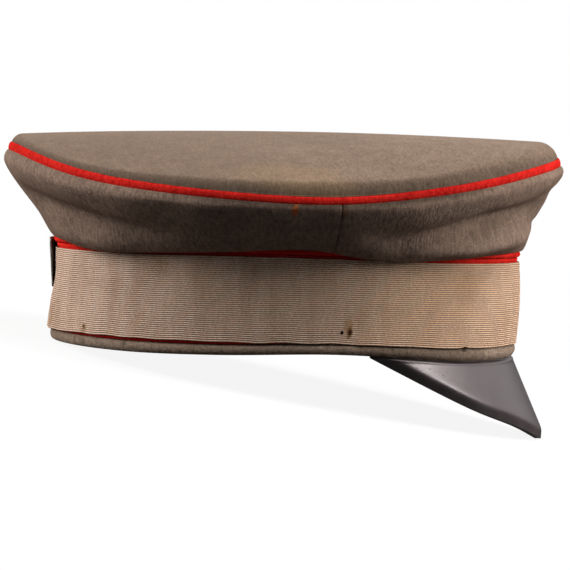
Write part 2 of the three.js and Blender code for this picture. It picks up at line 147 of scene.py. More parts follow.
# The band: its lowest edge and the ribbon's two edges, up from the head opening, how far the ribbon stands
# out of its oval at those two edges, how far the hem's roll lies in from the ribbon, and the width of the
# red cloth that shows between them.
BAND_SECTIONS = table(
    "turn hem ribbon_foot ribbon_head foot_out head_out hem_in red_shows",
    (0, -0.6, 5.2, 41.2, -1.2, -1, 0.3, -0.6),
    (42, -0.4, 5.3, 41.2, -0.6, -0.8, 0.4, -0.6),
    (60, 1.4, 6.2, 41.5, -0.3, -0.6, 0.4, -0.6),
    (80, 2.6, 7.1, 42.1, 0, -0.5, 0.4, -0.5),
    (106, 0.8, 6.3, 41.8, 0.3, -0.6, 0.5, 0.6),
    (130, -0.2, 5.9, 41, 0.7, -0.7, 0.8, 0.9),
    (180, 0.5, 5.4, 40.9, 1.8, -1, 1.9, -0.2),
)
RIBBON_MIDDLE = 23.5
RIBBON = 1.0
RIBBON_FLARE = 0.25  # how far its edges stray in and out
RIBBON_STRAY = 0.16  # how far they stray up and down
RIB_COUNT = 41
RIB_HEIGHT = 0.2
RIB_SHAPE = ((0, 0), (0.2, 0.8), (0.5, 1), (0.8, 0.8))  # shares of a rib's width and of its height
RED_CLOTH = 1.2
RED_DEPTH = 1.3  # the red cloth's face lies this far in from the ribbon's
RED_CLEAR = 0.1  # from the hem's roll to its foot
RED_HEAD = 43.1
RED_BACK_DROP = 0.3  # how much lower its inner face ends
RED_ROW = 1.5  # millimetres from row to row, on the UV map
RED_SWELL = (  # shares of the way from the ribbon to its head, and its depths there
    (0.2, 1.1), (0.35, 0.8), (0.55, 0.65), (0.75, 0.65), (0.9, 0.8), (1, 1.15),
)
ROLL_RADIUS = 1.35
ROLL_UP = 44.6
ROLL_IN = 0.6  # from the ribbon's face in to its centre
BODY_DEPTH = 2.8  # the grey wall's face lies this far in from the ribbon's
BODY = 2.6
BODY_HEAD = 45.8
BODY_STEP = 18  # the height of the wall's top row of faces
HEM_LUMPS = 0.16
HEM_ROW = 0.4  # millimetres from row to row, on the UV map
GAP = 0.3  # from the red line that shows under the ribbon down to the hem's roll
NOTCH_TURN = -42.8  # where the ribbon's lower edge is worn through
NOTCH_HEIGHT = 0.8
NOTCH_WIDE = 0.7

# The visor is a sheet of rulings that lean out from under the band, cut off by one sloping plane. A band
# along its rim bends under.
VISOR_END = 69.4
VISOR = 2.2
VISOR_IN = 2.05  # from the ribbon's foot in to its top
VISOR_HIDDEN = 0.9  # the height that the hem covers
VISOR_LEAN_FRONT = 24.6
VISOR_LEAN_END = 4
VISOR_LEAN_POWER = 1.5  # how late the lean changes on the way to the visor's end
VISOR_CREASE = 0.25  # a low rise along the hem, a little below it
VISOR_CREASE_DOWN = 1.1
VISOR_CREASE_WIDE = 0.6
VISOR_GROOVE = 0.9  # at the hem
VISOR_GROOVE_WIDE = 0.5
RIM_START_X = 33.4
RIM_START_UP = 2.6
RIM_SLOPE = 0.477
RIM_LIFT = 1.75  # the rim's rise above the plane, on each side of the front
RIM_LIFT_TURN = 20.6
RIM_LIFT_WIDE = 13.8
RIM_BAND = 4.3  # the height of the band
RIM_ROUND = 0.65  # how gently its bend starts
RIM_BEND = 0.52  # how far the band leans in for each millimetre down, at the front
RIM_BEND_SIDE = 0.4  # how much more at the sides
RIM_EDGE = ((0.3, -0.05), (0.8, -0.15), (1.4, -0.1))  # steps in and down round the rim's edge
RIM_ROWS_FROM = 0.7  # the share of the way down where the mesh's rows get closer
RIM_BACK = -5.0  # where the visor's back lies on the UV map, away from the cracks

# The clasp is a plate that stands off the ribbon at its top.
CLASP_WIDTH = 24
CLASP_HEIGHT = 22.2
CLASP_THICK = 1.2  # at its head
CLASP_THIN = 0.5  # at its foot
CLASP_CORNER = 2.5
CLASP_FOOT_UP = 23
CLASP_LEAN = 4.5
CLASP_GAP = 0.15
CLASP_BEND = 95  # the radius of the band there
PRONG_NARROWER = 4
PRONG_LOWER = 0.8
PRONG_THIN = 0.1  # at its foot
PRONG_THICK = 0.7  # at its head
PLATE_EDGE = ((0.5, 0), (0.12, 0.12), (0, 0.5), (0.12, 0.88), (0.5, 1))  # insets, shares of the thickness
PLATE_SIDES = 96
PLATE_GIRTH = 90  # millimetres round it, on the UV map
PLATE_RINGS = (0.04, 0.2, 0.4, 0.6, 0.8, 0.94)  # the rings of its two faces, as shares of its outline
CLASP_DENT = 1.5  # in the band behind it
CLASP_DENT_UP = 29
CLASP_DENT_HIGH = 8
CLASP_DENT_WIDE = 12


# ---------------------------------------------------------------- the cap's own geometry


def at(rows, column, turn):
    """A column of a table at any turn: cubic pieces through the rows, level at the front and the back."""
    knots, values = rows["turn"], rows[column]
    slopes = np.zeros_like(values)
    slopes[1:-1] = (values[2:] - values[:-2]) / (knots[2:] - knots[:-2])
    away = np.abs((turn + 180) % 360 - 180)
    i = np.clip(np.searchsorted(knots, away), 1, len(knots) - 1)
    span = knots[i] - knots[i - 1]
    t = (away - knots[i - 1]) / span
    ends = values[i - 1] * (1 + 2 * t) * (1 - t) ** 2 + values[i] * (3 - 2 * t) * t**2
    return ends + span * (slopes[i - 1] * t * (1 - t) ** 2 - slopes[i] * (1 - t) * t**2)


def oval(turn):
    """The band's oval at a turn, the level direction from it to the crown's oval, and the way between."""
    c, s = np.cos(np.radians(turn)), np.sin(np.radians(turn))
    band = np.stack([c * BAND_LENGTH / 2, s * BAND_WIDTH / 2], -1)
    crown = np.stack([CROWN_SHIFT + c * CROWN_LENGTH / 2, s * CROWN_WIDTH / 2], -1)
    spread = np.linalg.norm(crown - band, axis=-1)
    return band, (crown - band) / spread[..., None], spread


def place(turn, out, up):
    """A point by its turn, its distance out from the band's oval and its height."""
    turn, out, up = np.broadcast_arrays(turn, out, up)
    band, outward, _ = oval(turn)
    return np.concatenate([band + outward * out[..., None], up[..., None]], -1)


def ripple(turn, along, seed, around, upward, count=10):
    """A sum of cosines of seeded frequencies, whole ones round the cap and any along it, about -1 to 1."""
    rng = np.random.default_rng(seed)
    total = 0
    for _ in range(count):
        way = np.radians(turn) * rng.integers(1, around + 1) + along * rng.uniform(-upward, upward)
        total = total + np.cos(way + rng.uniform(0, 2 * np.pi))
    return total / np.sqrt(2 * count)


def bell(distance, width):
    """A smooth bump of height 1: e to the power of minus the square of the distance over the width."""
    return np.exp(-((distance / width) ** 2))


def saddle(x, y):
    """Height of the top before its edge turns down.

    It falls from the ridge's peak as a parabola along x, and from the ridge to the sides as another that is
    steeper towards the ends. Sine waves make it uneven, less so near the ridge.
    """
    steeper = 1 + END_FALL * x**2
    fall = RIDGE_CURVE * (x - RIDGE_PEAK_X) ** 2 + SIDE_FALL * steeper * (2 * y / CROWN_WIDTH) ** 2
    uneven = sum(rise * np.sin(x / long + y / wide + shift) for rise, long, wide, shift in TOP_WAVES)
    return RIDGE_HEIGHT - fall + uneven * np.minimum(1, np.abs(y) / TOP_WAVES_FULL)


def edge(turn):
    """The crown's edge: the arc of the top's turned edge, and the cord's centre.

    The arc starts in line with the saddle and ends at its slope, CORD_REACH short of the cord. It is given
    as its radius, its two angles below level and the place where it starts, which is found by taking the
    saddle's slope there and moving it, five times over.
    """
    radius = at(CROWN_SECTIONS, "shoulder", turn)
    slope = np.radians(at(CROWN_SECTIONS, "slope", turn))
    band, outward, spread = oval(turn)
    spread = spread - at(CROWN_SECTIONS, "edge_in", turn)
    arc_out = spread - CORD_REACH * np.cos(slope)

    def height(out):
        """The saddle's height at distances out from the band."""
        level = band + outward * out[..., None]
        return saddle(level[..., 0], level[..., 1])

    start = np.zeros_like(arc_out)
    for _ in range(5):
        start_out = arc_out - radius * (np.sin(slope) - np.sin(start))
        start = np.arctan(height(start_out - 0.5) - height(start_out + 0.5))
    start_up = height(start_out)
    foot_up = start_up - radius * (np.cos(start) - np.cos(slope))
    cord = np.stack([spread, foot_up - CORD_REACH * np.sin(slope)], -1)
    return radius, start, slope, start_out, start_up, cord


def edge_ways(slope):
    """The directions down along the cloth at the cord, and into it, as (out, up)."""
    return np.stack([np.cos(slope), -np.sin(slope)], -1), np.stack([-np.sin(slope), -np.cos(slope)], -1)


def through(points, steps):
    """A centripetal Catmull-Rom curve through points, as (point, column, 2), with the rows of each span."""
    points = np.stack(points)
    ends = [2 * points[0] - points[1], *points, 2 * points[-1] - points[-2]]
    gaps = [np.sqrt(np.linalg.norm(b - a, axis=-1, keepdims=True)) for a, b in zip(ends, ends[1:])]
    rows = []
    for i, count in enumerate(steps):
        p0, p1, p2, p3 = ends[i : i + 4]
        d0, d1, d2 = gaps[i : i + 3]
        m1 = d1 * ((p1 - p0) / d0 - (p2 - p0) / (d0 + d1) + (p2 - p1) / d1)
        m2 = d1 * ((p2 - p1) / d1 - (p3 - p1) / (d1 + d2) + (p3 - p2) / d2)
        t = np.linspace(0, 1, count, endpoint=False)[:, None, None]
        rows.append(p1 + m1 * t + (3 * (p2 - p1) - 2 * m1 - m2) * t**2 + (2 * (p1 - p2) + m1 + m2) * t**3)
    return np.concatenate([*rows, points[-1:]])


def inward(rows):
    """The unit normals of a section's rows, to the right of the way along them."""
    along = np.gradient(rows, axis=0)
    along /= np.linalg.norm(along, axis=-1, keepdims=True)
    return np.stack([along[..., 1], -along[..., 0]], -1)


def fold_depth(turn, down):
    """How far the folds push the crown's side in: a bell across each fold's line, fading to its ends."""
    depth = 0
    folds = zip(*CROWN_FOLDS.values())
    for from_turn, from_down, to_turn, to_down, width, most in folds:
        along = np.clip((turn - from_turn) / (to_turn - from_turn), 0, 1)
        centre = from_down + (to_down - from_down) * along
        depth = depth + most * np.sin(np.pi * along) * bell(down - centre, width)
    return depth


def band_lean(turn, up):
    """How far the ribbon's face stands out of its oval at a height.

    It is a parabola through the ribbon's foot and head and through the oval itself at the ribbon's middle,
    less the dent behind the clasp. Below the ribbon it is upright.
    """
    foot, head = at(BAND_SECTIONS, "ribbon_foot", turn), at(BAND_SECTIONS, "ribbon_head", turn)
    up = np.maximum(up, foot)
    from_middle_down = (up - RIBBON_MIDDLE) / (foot - RIBBON_MIDDLE)
    from_middle_up = (up - RIBBON_MIDDLE) / (head - RIBBON_MIDDLE)
    low = at(BAND_SECTIONS, "foot_out", turn) * from_middle_down * (up - head) / (foot - head)
    high = at(BAND_SECTIONS, "head_out", turn) * from_middle_up * (up - foot) / (head - foot)
    away = 180 - np.abs((turn + 180) % 360 - 180)
    dent = CLASP_DENT * bell(away, CLASP_DENT_WIDE) * bell(up - CLASP_DENT_UP, CLASP_DENT_HIGH)
    return low + high - dent


def roll_centre(turn):
    """The centre of the red roll above the band, as its distance out and its height."""
    return band_lean(turn, ROLL_UP) - ROLL_IN, np.full(np.shape(turn), ROLL_UP)


def hem_heights(turn):
    """Heights of the hem's lowest line and of its roll's top, below the red line that shows."""
    shows = at(BAND_SECTIONS, "red_shows", turn)
    return at(BAND_SECTIONS, "hem", turn), at(BAND_SECTIONS, "ribbon_foot", turn) - shows - GAP


# ---------------------------------------------------------------- how the cap lies


def resting_pose():
    """The tilt and the shift from the cap's frame to the floor's, from the box of the level red roll."""
    low, high = (np.array(corner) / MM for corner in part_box("band_piping"))
    size = high - low - 2 * ROLL_RADIUS
    tilt = np.arctan2(size[2], size[0])
    turn = np.arange(-180, 180, 1.0)
    ring = turned(place(turn, *roll_centre(turn)), tilt)
    return tilt, (low + high) / 2 - (ring.min(0) + ring.max(0)) / 2


def turned(points, tilt):
    """Points tipped back about y by the tilt."""
    c, s = np.cos(tilt), np.sin(tilt)
    x, y, z = np.moveaxis(points, -1, 0)
    return np.stack([x * c - z * s, y, x * s + z * c], -1)


TILT, SHIFT = resting_pose()


def laid(points):
    """Points of the cap's frame on the floor, in metres, pressed up where they would go through it."""
    points = turned(points, TILT) + SHIFT
    points[..., 2] = np.maximum(points[..., 2], 0)
    return points * MM


# ---------------------------------------------------------------- meshes


def grid_faces(rows, columns, wrap_rows, wrap_columns):
    """The quads of a grid as row and column numbers, which run on past the last where it wraps."""
    row_starts, column_starts = np.arange(rows - (not wrap_rows)), np.arange(columns - (not wrap_columns))
    r, c = (number.reshape(-1, 1) for number in np.meshgrid(row_starts, column_starts, indexing="ij"))
    return r + np.array([0, 0, 1, 1]), c + np.array([0, 1, 1, 0])


def grid_piece(name, points, across, along, wrap_rows=False, wrap_columns=False, caps=None):
    """A piece from a grid of points in the cap's frame, as (row, column, 3).

    across and along give each point's place on the UV map in millimetres, as arrays that spread over the
    grid, with one more row or column where it wraps. caps is "columns" to close the first and last columns
    with a face, or "poles" to close the first and last rows to their middles.
    """
    rows, columns = points.shape[:2]
    r, c = grid_faces(rows, columns, wrap_rows, wrap_columns)
    quads = (r % rows) * columns + c % columns
    corners = laid(points).reshape(-1, 3)
    uv = np.stack(np.broadcast_arrays(across, along), -1)[r, c].reshape(-1, 2)
    closing = []
    if caps == "columns":
        closing = [np.arange(rows) * columns, (np.arange(rows) * columns + columns - 1)[::-1]]
    if caps == "poles":
        middles = [corners[:columns].mean(0), corners[-columns:].mean(0)]
        corners = np.concatenate([corners, middles])
        ring = np.arange(columns)
        after = np.roll(ring, -1)
        first, last = np.full(columns, rows * columns), np.full(columns, rows * columns + 1)
        end = (rows - 1) * columns
        closing = [*np.stack([first, after, ring], -1), *np.stack([last, end + ring, end + after], -1)]
    a, b, d = (corners[quads[:, i]] for i in (0, 1, 3))
    outwards = np.einsum("ij,ij->i", np.cross(b - a, d - a), a - corners.mean(0)).sum() > 0
    faces = [*quads.tolist(), *(face.tolist() for face in closing)]
    if not outwards:
        faces = [face[::-1] for face in faces]
        uv = uv.reshape(-1, 4, 2)[:, ::-1].reshape(-1, 2)
    mesh = bpy.data.meshes.new(name)
    mesh.from_pydata(corners, [], faces)
    layer = mesh.uv_layers.new(name="cloth")
    padding = np.zeros((len(mesh.loops) - len(uv), 2))
    layer.data.foreach_set("uv", np.concatenate([uv, padding]).ravel())
    mesh.shade_smooth()
    piece = bpy.data.objects.new(name, mesh)
    bpy.context.scene.collection.objects.link(piece)
    return piece


def dress(piece, node, material):
    """Gives a piece its finish and puts it in the place of its CAD node."""
    piece.data.materials.append(material)
    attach(piece, "root")
    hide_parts(node)


# ---------------------------------------------------------------- shader expressions


class Wire:
    """An output socket of a shader tree. Arithmetic on wires and numbers adds Math nodes."""

    def __init__(self, tree, socket):
        self.tree, self.socket = tree, socket

    def node(self, kind, settings=None, inputs=None, output=0):
        """Adds a node: its settings first, then the values or wires of its sockets."""
        made = self.tree.nodes.new("ShaderNode" + kind)
        for key, value in (settings or {}).items():
            setattr(made, key, value)
        for key, value in (inputs or {}).items():
            if isinstance(value, Wire):
                self.tree.links.new(value.socket, made.inputs[key])
            else:
                made.inputs[key].default_value = value
        return Wire(self.tree, made.outputs[output])

    def math(self, operation, *values):
        """A Math node on numbers and wires."""
        return self.node("Math", {"operation": operation}, dict(enumerate(values)))

    def __add__(self, other):
        return self.math("ADD", self, other)

    __radd__ = __add__

    def __sub__(self, other):
        return self.math("SUBTRACT", self, other)

    def __rsub__(self, other):
        return self.math("SUBTRACT", other, self)

    def __mul__(self, other):
        return self.math("MULTIPLY", self, other)

    __rmul__ = __mul__

    def part(self, axis):
        """One of the three coordinates of this wire's point."""
        return self.node("SeparateXYZ", {}, {0: self}, axis)

    def absolute(self):
        """This wire's value without its sign."""
        return self.math("ABSOLUTE", self)

    def clamped(self, low, high):
        """0 at low, 1 at high and smooth between them, the other way round where low is the higher."""
        span = {"Value": self, "From Min": low, "From Max": high}
        return self.node("MapRange", {"interpolation_type": "SMOOTHSTEP"}, span)

    def noise(self, scale, detail, roughness):
        """Noise from 0 to 1 at this wire's points."""
        inputs = {"Vector": self, "Scale": scale, "Detail": detail, "Roughness": roughness}
        return self.node("TexNoise", {}, inputs)

    def moved(self, middle):
        """This wire's points, counted from another point."""
        return self.node("VectorMath", {"operation": "SUBTRACT"}, {0: self, 1: middle})

    def stretched(self, *scale):
        """This wire's points, times a scale for each axis."""
        return self.node("VectorMath", {"operation": "MULTIPLY"}, {0: self, 1: scale})

    def length(self):
        """How far this wire's points are from the origin."""
        return self.node("VectorMath", {"operation": "LENGTH"}, {0: self}, "Value")

    def mixed(self, first, second):
        """A colour that goes from the first to the second as this wire goes from 0 to 1."""
        inputs = {0: self, 6: first, 7: second}
        return self.node("Mix", {"data_type": "RGBA"}, inputs, 2)

    def shaded(self, colour):
        """A colour times this wire."""
        first = colour if isinstance(colour, Wire) else colour[:3]
        return self.node("VectorMath", {"operation": "SCALE"}, {0: first, "Scale": self})


def srgb(r, g, b):
    """A display colour as a linear one."""
    value = np.array([r, g, b]) / 255
    linear = np.where(value < 0.04045, value / 12.92, ((value + 0.055) / 1.055) ** 2.4)
    return (*linear.tolist(), 1)


def material(name):
    """A new material, with its shader and wires for the object's coordinates and the piece's own UV map."""
    made = bpy.data.materials.new(name)
    made.use_nodes = True
    tree = made.node_tree
    shader = next(node for node in tree.nodes if node.type == "BSDF_PRINCIPLED")
    start = Wire(tree, None)
    return made, shader, start.node("TexCoord", output="Object"), start.node("UVMap", {"uv_map": "cloth"})


def finish(shader, fixed, **wires):
    """Sets a shader's uniform sockets and links its changing ones."""
    for key, value in fixed.items():
        shader.inputs[key].default_value = value
    for key, wire in wires.items():
        wire.tree.links.new(wire.socket, shader.inputs[key.replace("_", " ")])


def stain_or_shade(here, turn, up, out, size, scale):
    """A mask of a stained patch or of painted shade: 1 within an ellipsoid round a place on the cap,
    with a ragged edge.

    The distance from the place, measured in the ellipsoid's half axes, plus noise, falls through 1.
    """
    offset = here.moved(laid(place(turn, out, up)))
    distance = offset.stretched(*(1 / (MM * half) for half in size)).length()
    return (distance + here.noise(scale, 4, 0.55) - 0.5).clamped(1.2, 0.7)


def marked_and_shaded(colour, here, marks_and_shade):
    """A colour with stains and painted shade over it, each given as its tint, where it is and how strong.
    """
    for tint, where, strength in marks_and_shade:
        colour = (stain_or_shade(here, *where) * strength).mixed(colour, tint)
    return colour


# ---------------------------------------------------------------- finishes

FUZZ_TINT = (1, 0.82, 0.7, 1)
EDGE_SHADE_ZONE = (0.962, 0.994)  # where painted shade darkens the top to its edge, as shares of the crown's half sizes
TUCK_SHADE_ZONE = (5.2, 2.4)  # where painted shade darkens the side to the cord, in millimetres down its cloth
TUCK_FRONT = (60, 120)  # where that sets in and ends, in millimetres round the crown from the front
TUCK_BACK = (230, 185)
CRACKS_FOOT = (4.4, 5.4)  # where the visor's cracks start and end, in millimetres above its rim
CRACKS_HEAD = (14, 7)
CRACKS_ASIDE = (50, 78)  # and where they set in, in millimetres from its front
YELLOWED = (-160, -90)  # where the ribbon yellows towards the front, in millimetres round the band

# Stains and patches of painted shade, each as its tint, its place and size for stain_or_shade(), and its
# strength.
TOP_MARKS_AND_SHADE = (  # painted shade over the rear half, and a pale patch
    # Painted shade: the rear half of the top is darkened.
    (srgb(95, 79, 66), (180, 95, -44, (110, 130, 60), 20), 0.35),
    (srgb(150, 122, 78), (-88, 74, 16, (26, 14, 10), 60), 0.16),
)
SIDE_MARKS = (  # two stains under the cord on the right, an orange one and a brown one
    (srgb(186, 96, 42), (-87.3, 60, 27.8, (1.5, 3, 4.2), 500), 0.7),
    (srgb(120, 84, 52), (-78, 60, 26.6, (1.5, 3, 3.4), 500), 0.35),
)
HEM_MARKS_AND_SHADE = (  # a darker stretch over the visor, and painted shade in the ribbon's notch
    (srgb(60, 45, 36), (-54, 2, 0, (38, 30, 10), 90), 0.42),
    # Painted shade: the dark in the notch under the ribbon's worn lower edge.
    (srgb(30, 22, 18), (NOTCH_TURN, 4.9, -0.8, (1.5, 2.5, 1.1), 1200), 0.7),
)
RIBBON_MARKS_AND_SHADE = (  # two dark spots in brown rings; the black one is painted shade for a small hole
    (srgb(150, 108, 56), (-75.6, 15, 0.4, (1.9, 3, 3), 900), 0.45),
    (srgb(120, 78, 40), (-75.2, 12, 0.4, (1.3, 3, 2.6), 1300), 0.8),
    (srgb(52, 28, 14), (-75.1, 12.2, 0.4, (0.75, 3, 1.4), 1500), 0.9),
    # Painted shade: a black spot for the shade inside a small hole.
    (srgb(12, 8, 6), (-77, 12, 0.4, (0.85, 3, 0.85), 900), 1),
    (srgb(52, 28, 14), (-144.2, 8.8, 0.9, (0.9, 1.5, 0.9), 900), 0.95),
    (srgb(150, 112, 70), (-144.2, 7.5, 0.9, (1.6, 2.5, 2.4), 900), 0.5),
)


def felt(
    name, dark, light, marks_and_shade=(), relief=0.6, hairs_long=3, brushed=1, linty=0.45,
    crease_shade=0, edge_shade=0, tuck_shade=0, fuzz=0,
):
    """Felted wool: dark and light fibres, pale lint, cloudy fading, and a nap of hairs down the cloth.

    A weighted sum of noises, one of them drawn out into hairs, goes from the dark wool to the light.
    brushed is how much longer the flecks are across the cap, linty how pale the lint is, crease_shade how
    much painted shade darkens the creases where the cloth is drawn in, and fuzz the pale bloom of loose
    fibres at a slant. edge_shade is how much painted shade darkens the top along its turned edge, and
    tuck_shade how much painted shade darkens the side where it comes out from under the cord, most in the
    middle of the cap's length.
    """
    made, shader, here, uv = material(name)
    flecks = here.stretched(1, 1 / brushed, 1)
    grain = flecks.noise(800, 3, 0.7)
    hairs = uv.stretched(1, 1 / hairs_long, 1).noise(1, 3, 0.7)
    lint = flecks.noise(420, 2, 0.6)
    mottle = here.noise(130, 3, 0.6)
    clouds = here.noise(16, 4, 0.6)
    melange = (grain * 0.35 + hairs * 0.5 + lint * 0.15).clamped(0.3, 0.7)
    colour = melange.mixed(dark, light)
    pale = flecks.noise(1000, 2, 0.5).clamped(0.62, 0.74)
    colour = (pale * linty).mixed(colour, tuple(min(1, 1.7 * share) for share in light))
    colour = (clouds * 0.4 + mottle * 0.5 + 0.55).shaded(colour)
    # Painted shade in the creases where the cloth is drawn in.
    if crease_shade:
        creases = uv.stretched(0.3, 0.06, 1).noise(1, 4, 0.6).clamped(0.56, 0.7)
        colour = (1 - creases * crease_shade).shaded(colour)
    # Painted shade: the top darkens along its turned edge, next to the cord.
    if edge_shade:
        outwards = uv.moved((CROWN_SHIFT, 0, 0)).stretched(2 / CROWN_LENGTH, 2 / CROWN_WIDTH, 0).length()
        colour = (1 - outwards.clamped(*EDGE_SHADE_ZONE) * edge_shade).shaded(colour)
    # Painted shade: the side darkens where it comes out from under the cord, most in the middle of each
    # side.
    if tuck_shade:
        aside = uv.part(0).absolute()
        deepest = aside.clamped(*TUCK_FRONT) * aside.clamped(*TUCK_BACK)
        colour = (1 - uv.part(1).clamped(*TUCK_SHADE_ZONE) * (deepest * 0.85 + 0.15) * tuck_shade).shaded(colour)
    colour = marked_and_shaded(colour, here, marks_and_shade)
    height = grain * 0.45 + hairs * 0.4 + lint * 0.3
    bump = height.node("Bump", {}, {"Strength": relief, "Distance": 0.6 * MM, "Height": height})
    fixed = {
        "Roughness": 1, "Specular IOR Level": 0,
        "Sheen Weight": fuzz, "Sheen Roughness": 0.5, "Sheen Tint": FUZZ_TINT,
    }
    finish(shader, fixed, Base_Color=colour, Normal=bump)
    return made


def ribbed():
    """Ribbed cotton: dark grooves between pale ribs, threads across them, streaks of wear, and stains.

    The grooves are a cosine with one wave to a rib, broken up by noises drawn out across and along them.
    Their darkness is painted shade.
    """
    made, shader, here, uv = material("ribbed_ribbon")
    way = uv.part(1) * (2 * np.pi)
    groove = way.math("COSINE", way) * 0.5 + 0.5
    threads = uv.stretched(1.1, 1, 1).noise(1, 3, 0.75)
    streaks = uv.stretched(0.14, 0.012, 1).noise(1, 4, 0.6)
    bands = uv.stretched(0.05, 0.03, 1).noise(1, 2, 0.5)
    soil = here.noise(45, 4, 0.6)
    worn = (threads * 0.3 + streaks * 0.7).clamped(0.25, 0.75)
    colour = worn.mixed(srgb(214, 178, 154), srgb(246, 215, 192))
    colour = soil.clamped(0.5, 0.8).mixed(colour, srgb(200, 163, 134))
    yellowed = uv.part(0).clamped(*YELLOWED) * 0.6
    colour = yellowed.mixed(colour, srgb(224, 180, 143))
    beads = threads.clamped(0.36, 0.64)
    depth = groove * (bands * 0.5 + beads * 0.6 + 0.2)
    weft = uv.stretched(0.75, 0.16, 1).noise(1, 3, 0.7)
    knots = uv.stretched(1.5, 1, 1).noise(1, 2, 0.6)
    colour = (weft * 0.45 + knots * 0.55 + 0.5).shaded(colour)
    # Painted shade: the grooves darken towards brown.
    colour = depth.mixed(colour, srgb(100, 73, 54))
    colour = marked_and_shaded(colour, here, RIBBON_MARKS_AND_SHADE)
    height = threads * 0.5 - groove
    bump = height.node("Bump", {}, {"Strength": 0.6, "Distance": 0.25 * MM, "Height": height})
    finish(shader, {"Roughness": 0.9, "Specular IOR Level": 0.1}, Base_Color=colour, Normal=bump)
    return made


def leather():
    """Polished black leather: a fine grain, dull patches, and cracks where the band along the rim bends.

    The cracks are specks of noise, faded out above and below the bend and towards the visor's front.
    """
    made, shader, here, uv = material("black_leather")
    grain = here.noise(1100, 3, 0.6)
    cloud = here.noise(70, 4, 0.6)
    dents = here.noise(330, 3, 0.6)
    from_front, above_rim = uv.part(0).absolute(), uv.part(1)
    specks = uv.stretched(1.2, 0.8, 1).noise(1, 2, 0.8).clamped(0.57, 0.7)
    cracks = specks * above_rim.clamped(*CRACKS_FOOT) * above_rim.clamped(*CRACKS_HEAD)
    cracks = cracks * from_front.clamped(*CRACKS_ASIDE)
    scuffs = uv.stretched(0.5, 3, 1).noise(1, 4, 0.7).clamped(0.6, 0.75)
    colour = cloud.clamped(0.35, 0.7).mixed(srgb(30, 23, 22), srgb(48, 39, 38))
    colour = (scuffs * 0.25).mixed(colour, srgb(120, 108, 104))
    colour = (cracks * 0.6).mixed(colour, srgb(10, 8, 8))
    height = grain * 0.2 + dents * 0.5 - cracks * 0.6
    bump = height.node("Bump", {}, {"Strength": 0.55, "Distance": 0.2 * MM, "Height": height})
    roughness = cloud * 0.2 + 0.34 + cracks * 0.3
    fixed = {
        "Specular IOR Level": 1, "Specular Tint": (1, 0.86, 0.87, 1),
        "Coat Weight": 0.15, "Coat Roughness": 0.25,
    }
    finish(shader, fixed, Base_Color=colour, Roughness=roughness, Normal=bump)
    return made


def steel(name, dark, bright, roughness):
    """Tarnished steel, which one noise makes brighter and rougher in patches."""
    made, shader, here, _ = material(name)
    tarnish = here.noise(260, 4, 0.6)
    colour = tarnish.clamped(0.35, 0.7).mixed(dark, bright)
    finish(shader, {"Metallic": 0.6}, Base_Color=colour, Roughness=tarnish * 0.3 + roughness)
    return made


# ---------------------------------------------------------------- the pieces

ROUND = np.arange(-180, 180, 0.75)
ROUND_CLOSED = np.append(ROUND, 180)


def crown_top(finish_of):
    """The top: rings of the saddle, its edge's arc, a lip that curls in at the cord, and its inside."""
    radius, start, slope, start_out, start_up, cord = edge(ROUND)
    rim = place(ROUND, start_out, 0)
    x = CROWN_SHIFT + (rim[:, 0] - CROWN_SHIFT) * TOP_RINGS[:, None]
    y = rim[:, 1] * TOP_RINGS[:, None]
    flat = np.stack([x, y, saddle(x, y)], -1)
    angle = start + (slope - start) * np.linspace(0, 1, EDGE_ROWS)[:, None]
    arc_out = start_out + radius * (np.sin(angle) - np.sin(start))
    arc_up = start_up - radius * (np.cos(start) - np.cos(angle))
    fall, into = edge_ways(slope)
    lip = cord - fall * at(CROWN_SECTIONS, "cord", ROUND)[:, None]
    curl = [lip + fall * down + into * deep for down, deep in TOP_CURL]
    turned_edge = np.concatenate([np.stack([arc_out, arc_up], -1), curl])
    under = (turned_edge + inward(turned_edge) * CLOTH)[EDGE_INSIDE]
    edge_points = place(ROUND, turned_edge[..., 0], turned_edge[..., 1])
    under_points = place(ROUND, under[..., 0], under[..., 1])
    inside = flat[::-8] - [0, 0, CLOTH]
    points = np.concatenate([flat, edge_points, under_points, inside])
    x, y = np.moveaxis(np.concatenate([points, points[:, :1]], 1)[..., :2], -1, 0)
    piece = grid_piece("crown_top_cloth", points, x, y, wrap_columns=True, caps="poles")
    dress(piece, "crown_top", finish_of)


def panel_turns(first, last):
    """Turns across a panel from 0 to 1, closer by its two seams."""
    near = np.array(SEAM_TURNS) / (last - first)
    count = int((last - first) / PANEL_TURN)
    return np.concatenate([near, np.linspace(near[-1], 1 - near[-1], count)[1:-1], 1 - near[::-1]])


